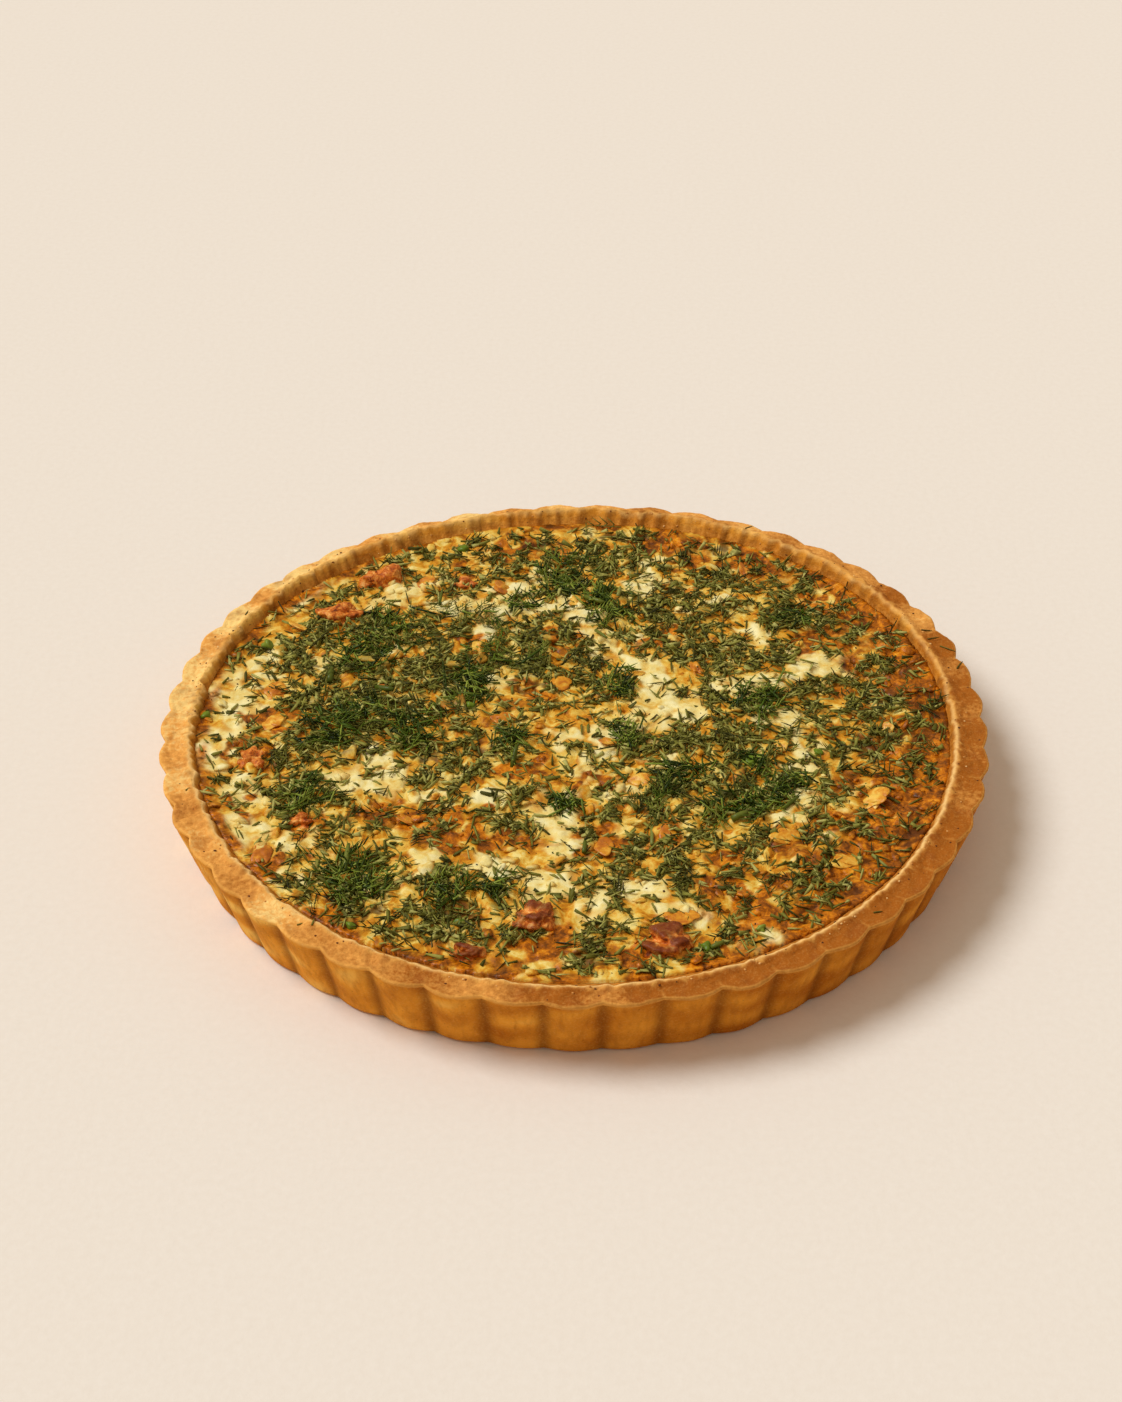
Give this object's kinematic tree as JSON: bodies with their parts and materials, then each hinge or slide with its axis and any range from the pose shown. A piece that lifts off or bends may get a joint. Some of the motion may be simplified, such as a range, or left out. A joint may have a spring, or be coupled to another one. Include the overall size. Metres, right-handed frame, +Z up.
{
  "type": "quiche",
  "caption": "Whole round baked quiche in a fluted shortcrust pastry case, filled with herbed egg custard and salmon flakes.",
  "frame": {"origin": "middle of the flat base of the pastry case, on the surface that it rests on", "axes": "+Z up through the filling; +X and +Y are level, and +Y points at the side where the case's inner ridge stands highest"},
  "size_m": [0.2454, 0.2498, 0.0243],
  "materials": {
    "pastry": "matt baked shortcrust, golden brown, with toasted edges",
    "custard": "baked egg custard, cream to deep orange-brown, slightly oily",
    "salmon": "baked salmon, moist, browned on top",
    "herb": "baked dill, dull olive to fresh green"
  },
  "bodies": {
    "root": {"crust": "pastry", "filling": "custard", "salmon_1": "salmon", "salmon_2": "salmon", "salmon_3": "salmon", "salmon_4": "salmon", "salmon_5": "salmon", "salmon_6": "salmon", "salmon_7": "salmon", "salmon_8": "salmon"}
  },
  "joints": []
}
